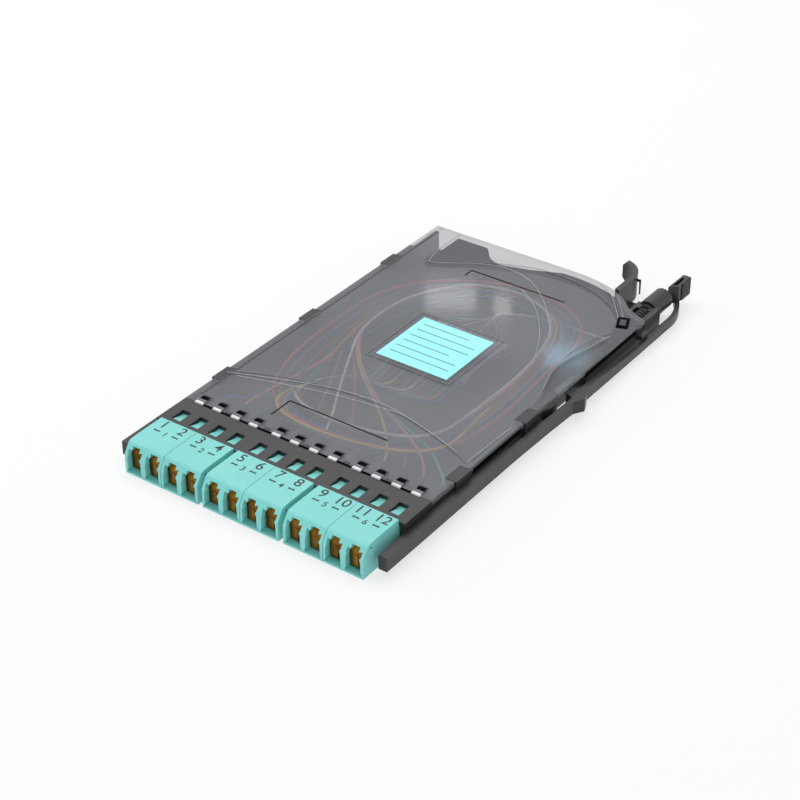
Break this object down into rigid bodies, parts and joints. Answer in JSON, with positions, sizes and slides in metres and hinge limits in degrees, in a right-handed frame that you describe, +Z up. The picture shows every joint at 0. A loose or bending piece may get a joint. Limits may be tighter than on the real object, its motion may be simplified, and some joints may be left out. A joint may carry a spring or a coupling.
{
  "type": "fibre cassette",
  "caption": "Flat fibre optic splice cassette with a row of shuttered duplex ports, a clear lift-off cover, side rails, a sprung latch lever and a rear cable outlet.",
  "frame": {"origin": "on the underside plane, midway across the port row and 80 mm behind the front face of the ports", "axes": "+X to the right seen from the port side, +Y from the ports to the cable outlet, +Z up through the cover"},
  "size_m": [0.0907, 0.1672, 0.0094],
  "materials": {
    "black_shell": "fine satin moulding",
    "clear_sheet": "clear moulded plastic with a faint haze",
    "pale_label": "smooth pale label",
    "boot_rubber": "dull",
    "aqua_body": "satin aqua moulding",
    "bronze_leaf": "bronze-brown spring metal",
    "pin_steel": "plain wire",
    "plug_aqua": "satin",
    "holder_grey": "satin",
    "sleeve_clear": "shrunk tubing",
    "tube_white": "smooth tubing",
    "fibre_blue": "coated fibre",
    "fibre_orange": "coated fibre",
    "fibre_green": "coated fibre",
    "fibre_brown": "coated fibre",
    "fibre_slate": "coated fibre",
    "fibre_white": "coated fibre",
    "fibre_red": "coated fibre",
    "fibre_black": "coated fibre",
    "fibre_yellow": "coated fibre",
    "fibre_violet": "coated fibre",
    "fibre_rose": "coated fibre",
    "fibre_aqua": "coated fibre"
  },
  "bodies": {
    "cassette": {"base_tray": "black_shell", "front_shell": "black_shell", "adapter_1": "aqua_body", "adapter_2": "aqua_body", "adapter_3": "aqua_body", "adapter_4": "aqua_body", "adapter_5": "aqua_body", "adapter_6": "aqua_body", "shutter_pin_1": "pin_steel", "shutter_pin_2": "pin_steel", "shutter_pin_3": "pin_steel", "shutter_pin_4": "pin_steel", "shutter_pin_5": "pin_steel", "shutter_pin_6": "pin_steel", "inner_plug_1": "plug_aqua", "inner_plug_2": "plug_aqua", "inner_plug_3": "plug_aqua", "inner_plug_4": "plug_aqua", "inner_plug_5": "plug_aqua", "inner_plug_6": "plug_aqua", "finger_hook": "black_shell", "cable_outlet": "black_shell", "outlet_boot": "boot_rubber", "splice_holder": "holder_grey", "splice_sleeves": "sleeve_clear", "pigtail_01": "fibre_blue", "pigtail_02": "fibre_orange", "pigtail_03": "fibre_green", "pigtail_04": "fibre_brown", "pigtail_05": "fibre_slate", "pigtail_06": "fibre_white", "pigtail_07": "fibre_red", "pigtail_08": "fibre_black", "pigtail_09": "fibre_yellow", "pigtail_10": "fibre_violet", "pigtail_11": "fibre_rose", "pigtail_12": "fibre_aqua", "trunk_fibres": "tube_white"},
    "cover": {"clear_cover": "clear_sheet", "cover_label": "pale_label"},
    "lever": {"latch_lever": "black_shell"},
    "leaf_01": {"shutter_01": "bronze_leaf"},
    "leaf_02": {"shutter_02": "bronze_leaf"},
    "leaf_03": {"shutter_03": "bronze_leaf"},
    "leaf_04": {"shutter_04": "bronze_leaf"},
    "leaf_05": {"shutter_05": "bronze_leaf"},
    "leaf_06": {"shutter_06": "bronze_leaf"},
    "leaf_07": {"shutter_07": "bronze_leaf"},
    "leaf_08": {"shutter_08": "bronze_leaf"},
    "leaf_09": {"shutter_09": "bronze_leaf"},
    "leaf_10": {"shutter_10": "bronze_leaf"},
    "leaf_11": {"shutter_11": "bronze_leaf"},
    "leaf_12": {"shutter_12": "bronze_leaf"}
  },
  "joints": [
    {"name": "cover_lift", "type": "slide", "parent": "cassette", "child": "cover", "axis": [0, 0, 1], "range_m": [0, 0.03]},
    {"name": "lever_squeeze", "type": "hinge", "parent": "cassette", "child": "lever", "pos_m": [0.04325, -0.018, 0.004], "axis": [0, 0, 1], "range_deg": [0, 0.75], "stiffness_Nm_per_rad": 1, "springref_deg": -1.15},
    {"name": "shutter_01_swing", "type": "hinge", "parent": "cassette", "child": "leaf_01", "pos_m": [-0.03633, -0.0764, 0.00775], "axis": [1, 0, 0], "range_deg": [0, 105], "stiffness_Nm_per_rad": 0.00002, "springref_deg": -20.05},
    {"name": "shutter_02_swing", "type": "hinge", "parent": "cassette", "child": "leaf_02", "pos_m": [-0.03009, -0.0764, 0.00775], "axis": [1, 0, 0], "range_deg": [0, 105], "stiffness_Nm_per_rad": 0.00002, "springref_deg": -20.05},
    {"name": "shutter_03_swing", "type": "hinge", "parent": "cassette", "child": "leaf_03", "pos_m": [-0.02363, -0.0764, 0.00775], "axis": [1, 0, 0], "range_deg": [0, 105], "stiffness_Nm_per_rad": 0.00002, "springref_deg": -20.05},
    {"name": "shutter_04_swing", "type": "hinge", "parent": "cassette", "child": "leaf_04", "pos_m": [-0.01739, -0.0764, 0.00775], "axis": [1, 0, 0], "range_deg": [0, 105], "stiffness_Nm_per_rad": 0.00002, "springref_deg": -20.05},
    {"name": "shutter_05_swing", "type": "hinge", "parent": "cassette", "child": "leaf_05", "pos_m": [-0.00948, -0.0764, 0.00775], "axis": [1, 0, 0], "range_deg": [0, 105], "stiffness_Nm_per_rad": 0.00002, "springref_deg": -20.05},
    {"name": "shutter_06_swing", "type": "hinge", "parent": "cassette", "child": "leaf_06", "pos_m": [-0.00323, -0.0764, 0.00775], "axis": [1, 0, 0], "range_deg": [0, 105], "stiffness_Nm_per_rad": 0.00002, "springref_deg": -20.05},
    {"name": "shutter_07_swing", "type": "hinge", "parent": "cassette", "child": "leaf_07", "pos_m": [0.00323, -0.0764, 0.00775], "axis": [1, 0, 0], "range_deg": [0, 105], "stiffness_Nm_per_rad": 0.00002, "springref_deg": -20.05},
    {"name": "shutter_08_swing", "type": "hinge", "parent": "cassette", "child": "leaf_08", "pos_m": [0.00948, -0.0764, 0.00775], "axis": [1, 0, 0], "range_deg": [0, 105], "stiffness_Nm_per_rad": 0.00002, "springref_deg": -20.05},
    {"name": "shutter_09_swing", "type": "hinge", "parent": "cassette", "child": "leaf_09", "pos_m": [0.01739, -0.0764, 0.00775], "axis": [1, 0, 0], "range_deg": [0, 105], "stiffness_Nm_per_rad": 0.00002, "springref_deg": -20.05},
    {"name": "shutter_10_swing", "type": "hinge", "parent": "cassette", "child": "leaf_10", "pos_m": [0.02363, -0.0764, 0.00775], "axis": [1, 0, 0], "range_deg": [0, 105], "stiffness_Nm_per_rad": 0.00002, "springref_deg": -20.05},
    {"name": "shutter_11_swing", "type": "hinge", "parent": "cassette", "child": "leaf_11", "pos_m": [0.03009, -0.0764, 0.00775], "axis": [1, 0, 0], "range_deg": [0, 105], "stiffness_Nm_per_rad": 0.00002, "springref_deg": -20.05},
    {"name": "shutter_12_swing", "type": "hinge", "parent": "cassette", "child": "leaf_12", "pos_m": [0.03633, -0.0764, 0.00775], "axis": [1, 0, 0], "range_deg": [0, 105], "stiffness_Nm_per_rad": 0.00002, "springref_deg": -20.05}
  ]
}
